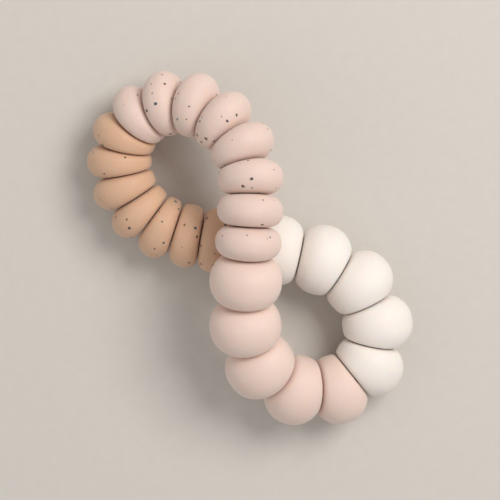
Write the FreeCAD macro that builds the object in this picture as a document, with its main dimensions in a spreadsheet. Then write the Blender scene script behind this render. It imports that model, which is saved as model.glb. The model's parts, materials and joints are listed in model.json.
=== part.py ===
import FreeCAD, Part
import os
from math import asin, cos, degrees, hypot, pi, sin, tan

from FreeCAD import Placement, Rotation, Vector

# A teething ring: soft beads squeezed together on one closed cord. The cord lies as a
# figure of eight. Sixteen flat discs make one ring and ten round beads make the other.
# The sand and blush beads make the strand that passes over the crossing, and the peach
# and cream beads make the strand that passes under it.
# +X runs from the disc ring to the round ring, and the loops rest on Z = 0.

SIZES = {
    "disc_radius": 9.6,
    "disc_half_length": 6.2,
    "round_radius": 10.55,
    "round_half_length": 9.2,
    "hole_radius": 1.6,
    "cord_radius": 0.8,
    "contact_gap": 0.36,
    "disc_ring_radius": 19.1,
    "round_ring_radius": 19.9,
    "ring_spacing": 55.2,
    "ring_stretch": 1.1,
    "centre_x": -0.615,
    "centre_y": -0.03,
    "over_contact_shift": 1.1,
    "under_contact_shift": 2.0,
    "far_contact_shift": 4.6,
    "lift_height": 20.7,
    "lift_centre": -7.0,
    "lift_reach": 75.0,
    "level_ramp": 20.0,
    "arc_share": 0.25,
    "least_turn": 2.5,
    "disc_count": 8,
    "round_count": 5,
    "knot_radius": 1.9,
    "knot_half_length": 2.4,
    "wrap_pitch": 1.28,
    "chamber_radius": 2.2,
    "chamber_half_length": 2.9,
    "block_size": 40.0,
}
KNOT_BEAD = "cream_bead_2"


def make_sheet(doc):
    """The driving dimensions, one alias each, in millimetres."""
    sheet = doc.addObject("Spreadsheet::Sheet", "sizes")
    for row, (name, value) in enumerate(SIZES.items(), start=1):
        sheet.set(f"A{row}", name)
        sheet.set(f"B{row}", str(value))
        sheet.setAlias(f"B{row}", name)
    doc.recompute()
    return sheet


def loop_shape(sheet, ring_radius):
    """Straight length from the crossing to one ring's arc, its slope angle and whole length."""
    slope = asin((sheet.disc_ring_radius + sheet.round_ring_radius) / sheet.ring_spacing)
    straight = ring_radius / tan(slope)
    return straight, slope, 2 * straight + ring_radius * (pi + 2 * slope)


def loop_point(sheet, travel, ring_radius):
    """Plan point on a loop that leaves the crossing downwards and comes back from above."""
    straight, slope, length = loop_shape(sheet, ring_radius)
    if travel < straight:
        return travel * cos(slope), -travel * sin(slope)
    if travel > length - straight:
        return (length - travel) * cos(slope), (length - travel) * sin(slope)
    turned = (travel - straight) / ring_radius - slope - pi / 2
    return hypot(straight, ring_radius) + ring_radius * cos(turned), ring_radius * sin(turned)


def centreline(sheet, travel):
    """Point of the strand, from the over crossing towards the round ring if positive."""
    if travel >= 0:
        x, y = loop_point(sheet, travel, sheet.round_ring_radius)
    else:
        x, y = loop_point(sheet, -travel, sheet.disc_ring_radius)
        x, y = -x, -y
    ramp = min(1.0, max(0.0, 1 + x / sheet.level_ramp))
    level = sheet.disc_radius + (sheet.round_radius - sheet.disc_radius) * ramp
    offset = (travel - sheet.lift_centre) / sheet.lift_reach
    lift = sheet.lift_height * (1 + cos(pi * offset)) / 2 if abs(offset) < 1 else 0.0
    return Vector(x * sheet.ring_stretch + sheet.centre_x, y + sheet.centre_y, level + lift)


def contact_points(sheet):
    """Points where neighbouring beads press on each other, in order round the whole loop."""
    disc_length = loop_shape(sheet, sheet.disc_ring_radius)[2]
    round_length = loop_shape(sheet, sheet.round_ring_radius)[2]
    far_disc = -disc_length / 2 - sheet.far_contact_shift
    groups = (
        (-disc_length - sheet.under_contact_shift, far_disc, sheet.disc_count),
        (far_disc, sheet.over_contact_shift, sheet.disc_count),
        (sheet.over_contact_shift, round_length / 2, sheet.round_count),
        (round_length / 2, round_length - sheet.under_contact_shift, sheet.round_count),
    )
    points = []
    for start, end, count in groups:
        pitch = (end - start) / count
        points += [centreline(sheet, start + pitch * step) for step in range(int(count))]
    return points


def bead_names(sheet):
    """Node names in the same order as the contact points."""
    discs = range(1, int(sheet.disc_count) + 1)
    rounds = range(1, int(sheet.round_count) + 1)
    return (
        [f"peach_disc_{number}" for number in reversed(discs)]
        + [f"sand_disc_{number}" for number in discs]
        + [f"blush_bead_{number}" for number in rounds]
        + [f"cream_bead_{number}" for number in rounds]
    )


def bind(item, **cells):
    """Tie an object's properties to expressions on the sheet."""
    for name, expression in cells.items():
        item.setExpression(name, expression)


def along(point, direction, back=0.0, side=0.0):
    """Placement whose local Z is the direction, moved back along it and to one side."""
    turn = Rotation(Vector(0, 0, 1), direction)
    return Placement(point + turn.multVec(Vector(-side, -side, -back)), turn)


def direction_between(start, end):
    return (end - start).normalize()


def press_block(doc, sheet, name, contact, normal):
    """Block that flattens a bead where its neighbour presses on it, half a gap short."""
    block = doc.addObject("Part::Box", name)
    bind(block, Length="sizes.block_size", Width="sizes.block_size", Height="sizes.block_size")
    block.Placement = along(contact, normal, sheet.contact_gap / 2, sheet.block_size / 2)
    return block


def bore(doc, name, middle, axis, radius_cell, half_length_cell):
    """Round hole along the bead's axis, centred on the bead's middle."""
    hole = doc.addObject("Part::Cylinder", name)
    bind(hole, Radius=f"sizes.{radius_cell}", Height=f"2 * sizes.{half_length_cell}")
    half_length = doc.getObject("sizes").get(half_length_cell)
    hole.Placement = along(middle, axis, half_length)
    return hole


def make_bead(doc, sheet, name, before, start, end, after):
    """One squeezed bead: an ellipsoid on its axis with two pressed faces and a cord hole."""
    kind = "disc" if "disc" in name else "round"
    axis = direction_between(start, end)
    middle = (start + end) * 0.5
    body = doc.addObject("Part::Ellipsoid", f"{name}_body")
    bind(
        body,
        Radius1=f"sizes.{kind}_half_length",
        Radius2=f"sizes.{kind}_radius",
        Radius3=f"sizes.{kind}_radius",
    )
    body.Placement = along(middle, axis)
    start_normal = direction_between(start, end) + direction_between(before, start)
    end_normal = direction_between(start, end) + direction_between(end, after)
    tools = [
        press_block(doc, sheet, f"{name}_start", start, -start_normal),
        press_block(doc, sheet, f"{name}_end", end, end_normal),
        bore(doc, f"{name}_hole", middle, axis, "hole_radius", "block_size"),
    ]
    if name == KNOT_BEAD:
        chamber = bore(doc, f"{name}_chamber", middle, axis, "chamber_radius", "chamber_half_length")
        tools.append(chamber)
    waste = doc.addObject("Part::MultiFuse", f"{name}_waste")
    waste.Shapes = tools
    bead = doc.addObject("Part::Cut", name)
    bead.Base = body
    bead.Tool = waste
    bead.Label = name
    return bead


def make_knot(doc, sheet, middle, axis):
    """Stopper knot: three turns of cord wrapped on a straight core."""
    core = bore(doc, "knot_core", middle, axis, "cord_radius", "knot_half_length")
    turns = [core]
    for place in (-1, 0, 1):
        wrap = doc.addObject("Part::Torus", f"knot_wrap_{place + 2}")
        bind(wrap, Radius1="sizes.knot_radius - sizes.cord_radius", Radius2="sizes.cord_radius")
        wrap.Placement = along(middle, axis, place * sheet.wrap_pitch)
        turns.append(wrap)
    knot = doc.addObject("Part::MultiFuse", "cord_knot")
    knot.Shapes = turns
    knot.Label = "cord_knot"
    return knot


def cord_corner(sheet, before, corner, after):
    """Arc that rounds one corner of the cord's route, with its two ends and its radius."""
    arriving = direction_between(before, corner)
    leaving = direction_between(corner, after)
    half_turn = arriving.getAngle(leaving) / 2
    reach = sheet.arc_share * min((corner - before).Length, (after - corner).Length)
    entry = corner - arriving * reach
    leave = corner + leaving * reach
    radius = reach / tan(half_turn)
    inward = direction_between(corner, (entry + leave) * 0.5)
    apex = corner + inward * radius * (1 / cos(half_turn) - 1)
    return Part.Arc(entry, apex, leave), entry, leave, radius


def cord_corners(sheet, points, knot_run):
    """The contacts where the cord bends, from the knot round, without those in line."""
    count = len(points)
    corners = []
    for step in range(1, count + 1):
        before, corner, after = (points[(knot_run + step + side) % count] for side in (-1, 0, 1))
        if degrees((corner - before).getAngle(after - corner)) > sheet.least_turn:
            corners.append(corner)
    return corners


def make_cord(doc, sheet, points, knot_run):
    """The closed cord from one side of its knot round to the other, as one swept tube."""
    start, end = points[knot_run], points[(knot_run + 1) % len(points)]
    axis = direction_between(start, end)
    middle = (start + end) * 0.5
    first = middle + axis * sheet.knot_half_length
    final = middle - axis * sheet.knot_half_length
    corners = cord_corners(sheet, points, knot_run)
    stops = [start] + corners + [end]
    edges = []
    radii = []
    last = first
    for before, corner, after in zip(stops, corners, stops[2:]):
        arc, entry, leave, radius = cord_corner(sheet, before, corner, after)
        edges += [Part.LineSegment(last, entry).toShape(), arc.toShape()]
        radii.append(radius)
        last = leave
    edges.append(Part.LineSegment(last, final).toShape())
    route = Part.Wire(edges)
    ring = Part.Wire(Part.Circle(first, axis, sheet.cord_radius).toShape())
    tube = route.makePipeShell([ring], True, False)
    expected = pi * sheet.cord_radius**2 * route.Length
    print("cord radii", ", ".join(f"{radius:.1f}" for radius in radii))
    print(f"cord volume {tube.Volume:.2f}, section times length {expected:.2f}")
    cord = doc.addObject("Part::Feature", "cord")
    cord.Shape = tube
    cord.Label = "cord"
    return cord


def check_and_export(doc, pieces):
    """Stop on any failed object, then write one file for each sub-part."""
    for item in doc.Objects:
        if "Invalid" in item.State or "Error" in item.State:
            raise RuntimeError(f"{item.Label} failed: {item.State}")
    for piece in pieces:
        if piece.Shape.isNull() or not piece.Shape.isValid():
            raise RuntimeError(f"{piece.Label} has no valid shape")
    os.makedirs("parts", exist_ok=True)
    for piece in pieces:
        piece.Shape.exportStep(f"parts/{piece.Label}.step")


def main():
    doc = FreeCAD.newDocument("teething_ring")
    sheet = make_sheet(doc)
    points = contact_points(sheet)
    names = bead_names(sheet)
    count = len(points)
    pieces = []
    for run, name in enumerate(names):
        around = [points[(run + step) % count] for step in (-1, 0, 1, 2)]
        pieces.append(make_bead(doc, sheet, name, *around))
    knot_run = names.index(KNOT_BEAD)
    start, end = points[knot_run], points[(knot_run + 1) % count]
    pieces.append(make_knot(doc, sheet, (start + end) * 0.5, direction_between(start, end)))
    pieces.append(make_cord(doc, sheet, points, knot_run))
    doc.recompute()
    check_and_export(doc, pieces)


main()
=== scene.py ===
import json
from math import asin, cos, hypot, pi, radians, sin, tan

import bmesh
import bpy
import numpy as np
from mathutils import Matrix, Vector


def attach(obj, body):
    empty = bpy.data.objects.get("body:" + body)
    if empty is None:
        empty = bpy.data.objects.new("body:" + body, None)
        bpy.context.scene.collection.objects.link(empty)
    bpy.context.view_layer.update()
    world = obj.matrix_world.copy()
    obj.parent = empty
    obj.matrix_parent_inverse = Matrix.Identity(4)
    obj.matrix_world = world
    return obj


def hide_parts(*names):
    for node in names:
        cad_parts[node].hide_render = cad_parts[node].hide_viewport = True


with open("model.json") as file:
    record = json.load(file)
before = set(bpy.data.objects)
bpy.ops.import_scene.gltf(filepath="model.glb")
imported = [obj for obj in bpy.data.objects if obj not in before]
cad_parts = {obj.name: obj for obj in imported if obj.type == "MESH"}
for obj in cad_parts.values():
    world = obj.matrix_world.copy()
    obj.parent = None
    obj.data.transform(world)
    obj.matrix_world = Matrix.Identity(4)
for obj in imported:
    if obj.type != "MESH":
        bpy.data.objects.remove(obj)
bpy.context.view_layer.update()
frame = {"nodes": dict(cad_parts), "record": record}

# The driving dimensions of the frame, in metres, as in the CAD model.
DISC_RADIUS, ROUND_RADIUS = 0.0096, 0.01055
DISC_RING_RADIUS, ROUND_RING_RADIUS = 0.0191, 0.0199
RING_SPACING, RING_STRETCH = 0.0552, 1.1
OVER_CONTACT_SHIFT, UNDER_CONTACT_SHIFT, FAR_CONTACT_SHIFT = 0.0011, 0.0020, 0.0046
LIFT_HEIGHT, LIFT_CENTRE, LIFT_REACH = 0.0207, -0.007, 0.075
LEVEL_RAMP = 0.020
CENTRE_X, CENTRE_Y = -0.000615, -0.00003
CONTACT_GAP = 0.00030
HOLE_RADIUS = 0.0016
DISC_COUNT, ROUND_COUNT = 8, 5

# The soft shape of a squeezed bead: fuller at the shoulders than an ellipse.
SHOULDER_POWER = 2.25
DISC_HALF_LENGTH, ROUND_HALF_LENGTH = 0.0059, 0.0087
RIM_SOFTNESS = 0.0011
PINCH_SOFTNESS = 0.0009
AROUND, ALONG, BORE_ROWS = 112, 84, 8

# The chips in the sand and peach silicone: the spacing of their cells and their tones.
FLECK_CELL = 0.0024
DARK_TONES = ((0.035, 0.04, 0.06), (0.07, 0.06, 0.06), (0.05, 0.09, 0.13), (0.16, 0.09, 0.05))
FAINT_TONES = ((0.25, 0.27, 0.26), (0.35, 0.24, 0.17), (0.2, 0.25, 0.22))

# Steps of halving that find the surface, and steps and first guess that find a hole's rim.
REACH_STEPS, RIM_STEPS, RIM_GUESS = 26, 14, 0.3

# The view: nearly overhead, with the rings running from upper left to lower right.
CAMERA_TURN = radians(51.3)
CAMERA_HEIGHT = 0.66
CAMERA_LEAN = Vector((0.0, 0.082))
PICTURE_WIDTH = 0.1503
PICTURE_CENTRE = Vector((0.0003, -0.0022))


# ---- the beads' places -------------------------------------------------------------


def loop_shape(ring_radius):
    """Straight length from the crossing to a ring's arc, its slope and whole length."""
    slope = asin((DISC_RING_RADIUS + ROUND_RING_RADIUS) / RING_SPACING)
    straight = ring_radius / tan(slope)
    return straight, slope, 2 * straight + ring_radius * (pi + 2 * slope)


def loop_point(travel, ring_radius):
    """Plan point on a loop that leaves the crossing downwards and comes back from above."""
    straight, slope, length = loop_shape(ring_radius)
    if travel < straight:
        return travel * cos(slope), -travel * sin(slope)
    if travel > length - straight:
        return (length - travel) * cos(slope), (length - travel) * sin(slope)
    turned = (travel - straight) / ring_radius - slope - pi / 2
    return hypot(straight, ring_radius) + ring_radius * cos(turned), ring_radius * sin(turned)


def centreline(travel):
    """Point of the strand, from the over crossing towards the round ring if positive."""
    if travel >= 0:
        x, y = loop_point(travel, ROUND_RING_RADIUS)
    else:
        x, y = loop_point(-travel, DISC_RING_RADIUS)
        x, y = -x, -y
    ramp = min(1.0, max(0.0, 1 + x / LEVEL_RAMP))
    level = DISC_RADIUS + (ROUND_RADIUS - DISC_RADIUS) * ramp
    offset = (travel - LIFT_CENTRE) / LIFT_REACH
    lift = LIFT_HEIGHT * (1 + cos(pi * offset)) / 2 if abs(offset) < 1 else 0.0
    return np.array([x * RING_STRETCH + CENTRE_X, y + CENTRE_Y, level + lift])


def contact_points():
    """Points where neighbouring beads press on each other, in order round the loop."""
    disc_length = loop_shape(DISC_RING_RADIUS)[2]
    round_length = loop_shape(ROUND_RING_RADIUS)[2]
    far_disc = -disc_length / 2 - FAR_CONTACT_SHIFT
    groups = (
        (-disc_length - UNDER_CONTACT_SHIFT, far_disc, DISC_COUNT),
        (far_disc, OVER_CONTACT_SHIFT, DISC_COUNT),
        (OVER_CONTACT_SHIFT, round_length / 2, ROUND_COUNT),
        (round_length / 2, round_length - UNDER_CONTACT_SHIFT, ROUND_COUNT),
    )
    points = []
    for start, end, count in groups:
        pitch = (end - start) / count
        points += [centreline(start + pitch * step) for step in range(count)]
    return points


def bead_names():
    """Node names in the same order as the contact points."""
    discs = range(1, DISC_COUNT + 1)
    rounds = range(1, ROUND_COUNT + 1)
    return (
        [f"peach_disc_{number}" for number in reversed(discs)]
        + [f"sand_disc_{number}" for number in discs]
        + [f"blush_bead_{number}" for number in rounds]
        + [f"cream_bead_{number}" for number in rounds]
    )


# ---- the beads' shape --------------------------------------------------------------


def unit(vector):
    """The vector scaled to a length of one."""
    return vector / np.linalg.norm(vector)


def smooth_max(a, b, softness):
    """The larger of two fields, rounded where they meet."""
    blend = np.clip(0.5 + 0.5 * (a - b) / softness, 0.0, 1.0)
    return b + (a - b) * blend + softness * blend * (1 - blend)


class Bead:
    """One bead: where it lies, how large it is and what presses on it."""

    def __init__(self, name, before, start, end, after):
        self.name = name
        self.middle = (start + end) / 2
        self.axis = unit(end - start)
        self.side = unit(np.cross(self.axis, (0, 0, 1)))
        self.up = np.cross(self.side, self.axis)
        disc = "disc" in name
        self.radius = DISC_RADIUS if disc else ROUND_RADIUS
        self.half_length = DISC_HALF_LENGTH if disc else ROUND_HALF_LENGTH
        start_normal = -unit(self.axis + unit(start - before))
        end_normal = unit(self.axis + unit(after - end))
        self.faces = ((start, start_normal), (end, end_normal))
        self.pressed_by = []

    def body_field(self, points):
        """Rough distance outside the bead's free shape, negative inside it."""
        offset = points - self.middle
        along = np.abs(offset @ self.axis)
        across = np.sqrt(np.maximum((offset**2).sum(axis=-1) - along**2, 0.0))
        power = SHOULDER_POWER
        norm = (across / self.radius) ** power + (along / self.half_length) ** power
        norm = np.maximum(norm, 1e-9) ** (1 / power)
        return np.sqrt((offset**2).sum(axis=-1)) * (1 - 1 / norm)

    def field(self, points):
        """The free shape, flattened by its two neighbours and by the other strand."""
        value = self.body_field(points)
        for contact, normal in self.faces:
            wall = (points - contact) @ normal + CONTACT_GAP / 2
            value = smooth_max(value, wall, RIM_SOFTNESS)
        for other in self.pressed_by:
            nearer = (self.body_field(points) - other.body_field(points) + CONTACT_GAP) / 2
            value = smooth_max(value, nearer, PINCH_SOFTNESS)
        return value

    def reach(self, directions):
        """How far the surface is from the middle in each direction."""
        low = np.zeros(directions.shape[:-1])
        high = np.full(directions.shape[:-1], 1.3 * self.radius)
        for _ in range(REACH_STEPS):
            half = (low + high) / 2
            inside = self.field(self.middle + directions * half[..., None]) < 0
            low = np.where(inside, half, low)
            high = np.where(inside, high, half)
        return (low + high) / 2

    def directions(self, polar, around):
        across = np.cos(around)[..., None] * self.side + np.sin(around)[..., None] * self.up
        return np.cos(polar)[..., None] * self.axis + np.sin(polar)[..., None] * across

    def skin(self):
        """Rows of points from the hole's rim at one end, over the bead, to the other rim."""
        around = np.linspace(0, 2 * pi, AROUND, endpoint=False)
        first = self.rim_angle(around, 0.0)
        last = self.rim_angle(around, pi)
        share = np.linspace(0, 1, ALONG)[:, None]
        polar = first + (last - first) * share
        turned = np.broadcast_to(around, polar.shape)
        rays = self.directions(polar, turned)
        return self.middle + rays * self.reach(rays)[..., None]

    def rim_angle(self, around, pole):
        """Polar angle at which the surface is as far from the axis as the hole's wall."""
        angle = np.full(around.shape, abs(pole - RIM_GUESS))
        for _ in range(RIM_STEPS):
            distance = self.reach(self.directions(angle, around))
            small = np.arcsin(np.clip(HOLE_RADIUS / distance, 0, 0.9))
            angle = small if pole == 0.0 else pi - small
        return angle


def ring_faces(rows, columns):
    """Quads that join rows of points, closed round and end to end."""
    faces = []
    for row in range(rows):
        below = (row + 1) % rows
        for column in range(columns):
            beside = (column + 1) % columns
            faces.append(
                (
                    row * columns + column,
                    row * columns + beside,
                    below * columns + beside,
                    below * columns + column,
                )
            )
    return faces


def mesh_from_rows(name, rows):
    """Closed smooth mesh from a grid of points that joins up in both directions."""
    count, columns = rows.shape[:2]
    mesh = bpy.data.meshes.new(name)
    mesh.from_pydata(rows.reshape(-1, 3).tolist(), [], ring_faces(count, columns))
    tidy = bmesh.new()
    tidy.from_mesh(mesh)
    bmesh.ops.recalc_face_normals(tidy, faces=tidy.faces)
    tidy.to_mesh(mesh)
    tidy.free()
    mesh.shade_smooth()
    return mesh


def make_bead(bead, material, body):
    """The bead's skin and the wall of its hole, as one closed piece that rides on its body."""
    skin = bead.skin()
    share = np.linspace(0, 1, BORE_ROWS + 2)[1:-1, None, None]
    wall = skin[-1] + (skin[0] - skin[-1]) * share
    rows = np.concatenate([skin, wall])
    piece = bpy.data.objects.new(f"{bead.name}_soft", mesh_from_rows(bead.name, rows))
    bpy.context.collection.objects.link(piece)
    piece.data.materials.append(material)
    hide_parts(bead.name)
    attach(piece, body)
    return piece


# ---- materials ---------------------------------------------------------------------


def node(tree, kind, **values):
    item = tree.nodes.new(kind)
    for name, value in values.items():
        setattr(item, name, value)
    return item


def joined(tree, source, target):
    tree.links.new(source, target)


def noise(tree, place, scale, detail):
    item = node(tree, "ShaderNodeTexNoise")
    item.inputs["Scale"].default_value = scale
    item.inputs["Detail"].default_value = detail
    joined(tree, place, item.inputs["Vector"])
    return item.outputs["Fac"]


def scaled_range(tree, value, low, high, to_low, to_high):
    item = node(tree, "ShaderNodeMapRange")
    for socket, number in zip(item.inputs[1:5], (low, high, to_low, to_high)):
        socket.default_value = number
    joined(tree, value, item.inputs["Value"])
    return item.outputs["Result"]


def maths(tree, operation, first, second):
    item = node(tree, "ShaderNodeMath", operation=operation)
    for socket, value in zip(item.inputs, (first, second)):
        if isinstance(value, (int, float)):
            socket.default_value = value
        else:
            joined(tree, value, socket)
    return item.outputs[0]


def mixed(tree, share, first, second):
    """Blend of two colours, each a tuple or a socket."""
    item = node(tree, "ShaderNodeMix", data_type="RGBA")
    colours = [socket for socket in item.inputs if socket.type == "RGBA"]
    for socket, value in zip(colours, (first, second)):
        if isinstance(value, tuple):
            socket.default_value = (*value, 1)
        else:
            joined(tree, value, socket)
    joined(tree, share, item.inputs[0])
    return next(socket for socket in item.outputs if socket.type == "RGBA")


def flecks(tree, place, base, cell, largest, share, strength, tones):
    """Irregular chips: one in some of the cells of a loose grid, each with its own tone."""
    wobble = node(tree, "ShaderNodeTexNoise")
    wobble.inputs["Scale"].default_value = 1400
    joined(tree, place, wobble.inputs["Vector"])
    shift = node(tree, "ShaderNodeVectorMath", operation="MULTIPLY_ADD")
    shift.inputs[1].default_value = (0.0007, 0.0007, 0.0007)
    joined(tree, wobble.outputs["Color"], shift.inputs[0])
    joined(tree, place, shift.inputs[2])
    cells = node(tree, "ShaderNodeTexVoronoi")
    cells.inputs["Scale"].default_value = 1 / cell
    joined(tree, shift.outputs["Vector"], cells.inputs["Vector"])
    parts = node(tree, "ShaderNodeSeparateColor")
    joined(tree, cells.outputs["Color"], parts.inputs["Color"])
    size = scaled_range(tree, parts.outputs["Red"], 1 - share, 1, 0, largest / cell)
    edge = maths(tree, "SUBTRACT", size, cells.outputs["Distance"])
    mask = scaled_range(tree, edge, 0, 0.03, 0, strength)
    ramp = node(tree, "ShaderNodeValToRGB")
    ramp.color_ramp.interpolation = "CONSTANT"
    ramp.color_ramp.elements[0].color = (*tones[0], 1)
    ramp.color_ramp.elements[1].position = 1 / len(tones)
    ramp.color_ramp.elements[1].color = (*tones[1], 1)
    for index, tone in enumerate(tones[2:], start=2):
        element = ramp.color_ramp.elements.new(index / len(tones))
        element.color = (*tone, 1)
    joined(tree, parts.outputs["Green"], ramp.inputs["Fac"])
    return mixed(tree, mask, base, ramp.outputs["Color"])


def silicone(name, colour, deep, flecked):
    """Matte soft silicone: a cloudy tint, a powdery skin and, if asked, chips in it."""
    material = bpy.data.materials.new(name)
    material.use_nodes = True
    tree = material.node_tree
    shader = tree.nodes["Principled BSDF"]
    place = node(tree, "ShaderNodeTexCoord").outputs["Object"]
    cloud = scaled_range(tree, noise(tree, place, 90, 3), 0.35, 0.65, 0, 0.5)
    tint = mixed(tree, cloud, colour, deep)
    if flecked:
        tint = flecks(tree, place, tint, FLECK_CELL, 0.00062, 0.50, 0.45, FAINT_TONES)
        tint = flecks(tree, place, tint, FLECK_CELL, 0.00060, 0.58, 0.92, DARK_TONES)
    joined(tree, tint, shader.inputs["Base Color"])
    grain = noise(tree, place, 2600, 4)
    joined(tree, scaled_range(tree, grain, 0.3, 0.7, 0.5, 0.64), shader.inputs["Roughness"])
    bump = node(tree, "ShaderNodeBump")
    bump.inputs["Strength"].default_value = 0.12
    bump.inputs["Distance"].default_value = 0.00008
    joined(tree, grain, bump.inputs["Height"])
    joined(tree, bump.outputs["Normal"], shader.inputs["Normal"])
    shader.inputs["Specular IOR Level"].default_value = 0.35
    shader.inputs["Subsurface Weight"].default_value = 0.45
    shader.inputs["Subsurface Scale"].default_value = 0.0022
    shader.inputs["Subsurface Radius"].default_value = (1.0, 0.55, 0.32)
    shader.inputs["Sheen Weight"].default_value = 0.12
    shader.inputs["Sheen Roughness"].default_value = 0.5
    return material


def braid(name):
    """Off-white braided cord: fine diagonal strands."""
    material = bpy.data.materials.new(name)
    material.use_nodes = True
    tree = material.node_tree
    shader = tree.nodes["Principled BSDF"]
    place = node(tree, "ShaderNodeTexCoord").outputs["Object"]
    wave = node(tree, "ShaderNodeTexWave", bands_direction="DIAGONAL")
    wave.inputs["Scale"].default_value = 700
    wave.inputs["Distortion"].default_value = 2
    joined(tree, place, wave.inputs["Vector"])
    tint = mixed(tree, wave.outputs["Fac"], (0.62, 0.58, 0.50), (0.80, 0.77, 0.70))
    joined(tree, tint, shader.inputs["Base Color"])
    bump = node(tree, "ShaderNodeBump")
    bump.inputs["Strength"].default_value = 0.5
    bump.inputs["Distance"].default_value = 0.0001
    joined(tree, wave.outputs["Fac"], bump.inputs["Height"])
    joined(tree, bump.outputs["Normal"], shader.inputs["Normal"])
    shader.inputs["Roughness"].default_value = 0.85
    return material


def floor_paper():
    """Plain pale studio surface with a very faint mottle."""
    material = bpy.data.materials.new("floor_paper")
    material.use_nodes = True
    tree = material.node_tree
    shader = tree.nodes["Principled BSDF"]
    place = node(tree, "ShaderNodeTexCoord").outputs["Object"]
    mottle = noise(tree, place, 300, 4)
    tint = mixed(tree, mottle, (0.62, 0.59, 0.55), (0.66, 0.63, 0.585))
    joined(tree, tint, shader.inputs["Base Color"])
    shader.inputs["Roughness"].default_value = 0.9
    return material


# ---- stage, light and camera -------------------------------------------------------


def make_floor():
    bpy.ops.mesh.primitive_plane_add(size=3, location=(0, 0, -0.0001))
    floor = bpy.context.object
    floor.name = "floor"
    floor.data.materials.append(floor_paper())


def make_light(name, spot, size, power, colour):
    """Soft square lamp that points at the object's middle."""
    lamp = bpy.data.lights.new(name, "AREA")
    lamp.size = size
    lamp.energy = power
    lamp.color = colour
    item = bpy.data.objects.new(name, lamp)
    bpy.context.collection.objects.link(item)
    item.location = spot
    item.rotation_euler = (-Vector(spot)).to_track_quat("-Z", "Y").to_euler()


def in_picture(right, up, height):
    """A place given along the picture's own right and up directions."""
    turn = Matrix.Rotation(CAMERA_TURN, 3, "Z")
    return turn @ Vector((right, up, height))


def make_studio():
    world = bpy.data.worlds.new("soft_room")
    world.use_nodes = True
    sky = world.node_tree.nodes["Background"]
    sky.inputs["Color"].default_value = (1.0, 0.98, 0.965, 1)
    sky.inputs["Strength"].default_value = 0.45
    bpy.context.scene.world = world
    bpy.context.scene.view_settings.view_transform = "Standard"
    make_light("window", in_picture(0.45, 0.40, 0.75), 0.45, 6.2, (1.0, 0.97, 0.94))
    make_light("fill", in_picture(-0.6, -0.2, 0.6), 0.8, 0.9, (1.0, 0.985, 0.97))


def make_camera():
    """A long lens over the object, leaning a little towards the picture's top."""
    lens = bpy.data.cameras.new("camera")
    lens.sensor_width = 36
    lens.lens = 36 * CAMERA_HEIGHT / PICTURE_WIDTH
    lens.clip_start, lens.clip_end = 0.01, 10
    camera = bpy.data.objects.new("camera", lens)
    bpy.context.collection.objects.link(camera)
    target = in_picture(PICTURE_CENTRE.x, PICTURE_CENTRE.y, 0)
    spot = in_picture(
        PICTURE_CENTRE.x + CAMERA_LEAN.x, PICTURE_CENTRE.y + CAMERA_LEAN.y, CAMERA_HEIGHT
    )
    forward = (target - spot).normalized()
    right = in_picture(1, 0, 0)
    right = (right - forward * right.dot(forward)).normalized()
    up = right.cross(forward)
    turn = Matrix((right, up, -forward)).transposed()
    camera.matrix_world = Matrix.Translation(spot) @ turn.to_4x4()
    bpy.context.scene.camera = camera


# ---- the whole object --------------------------------------------------------------


def make_beads():
    points = contact_points()
    names = bead_names()
    count = len(points)
    beads = {}
    for run, name in enumerate(names):
        around = [points[(run + step) % count] for step in (-1, 0, 1, 2)]
        beads[name] = Bead(name, *around)
    over = [beads[name] for name in ("sand_disc_8", "blush_bead_1", "blush_bead_2")]
    under = [beads[name] for name in ("peach_disc_8", "cream_bead_5", "cream_bead_4")]
    for top in over:
        top.pressed_by = under
    for bottom in under:
        bottom.pressed_by = over
    return beads.values()


def body_of_node():
    """Which body each CAD node rides on."""
    bodies = frame["record"]["behaviour"]["bodies"]
    return {member: body for body, members in bodies.items() for member in members}


def main():
    finishes = {
        "sand": silicone("silicone_sand", (0.79, 0.625, 0.555), (0.74, 0.58, 0.51), True),
        "peach": silicone("silicone_peach", (0.70, 0.46, 0.312), (0.65, 0.42, 0.28), True),
        "blush": silicone("silicone_blush", (0.815, 0.65, 0.577), (0.775, 0.60, 0.527), False),
        "cream": silicone("silicone_cream", (0.885, 0.835, 0.79), (0.855, 0.79, 0.735), False),
    }
    riding = body_of_node()
    for bead in make_beads():
        piece = make_bead(bead, finishes[bead.name.split("_")[0]], riding[bead.name])
    cord = braid("cord_braid")
    for name in ("cord", "cord_knot"):
        for holder in frame["nodes"][name].material_slots:
            holder.material = cord
    make_floor()
    make_studio()
    make_camera()


main()
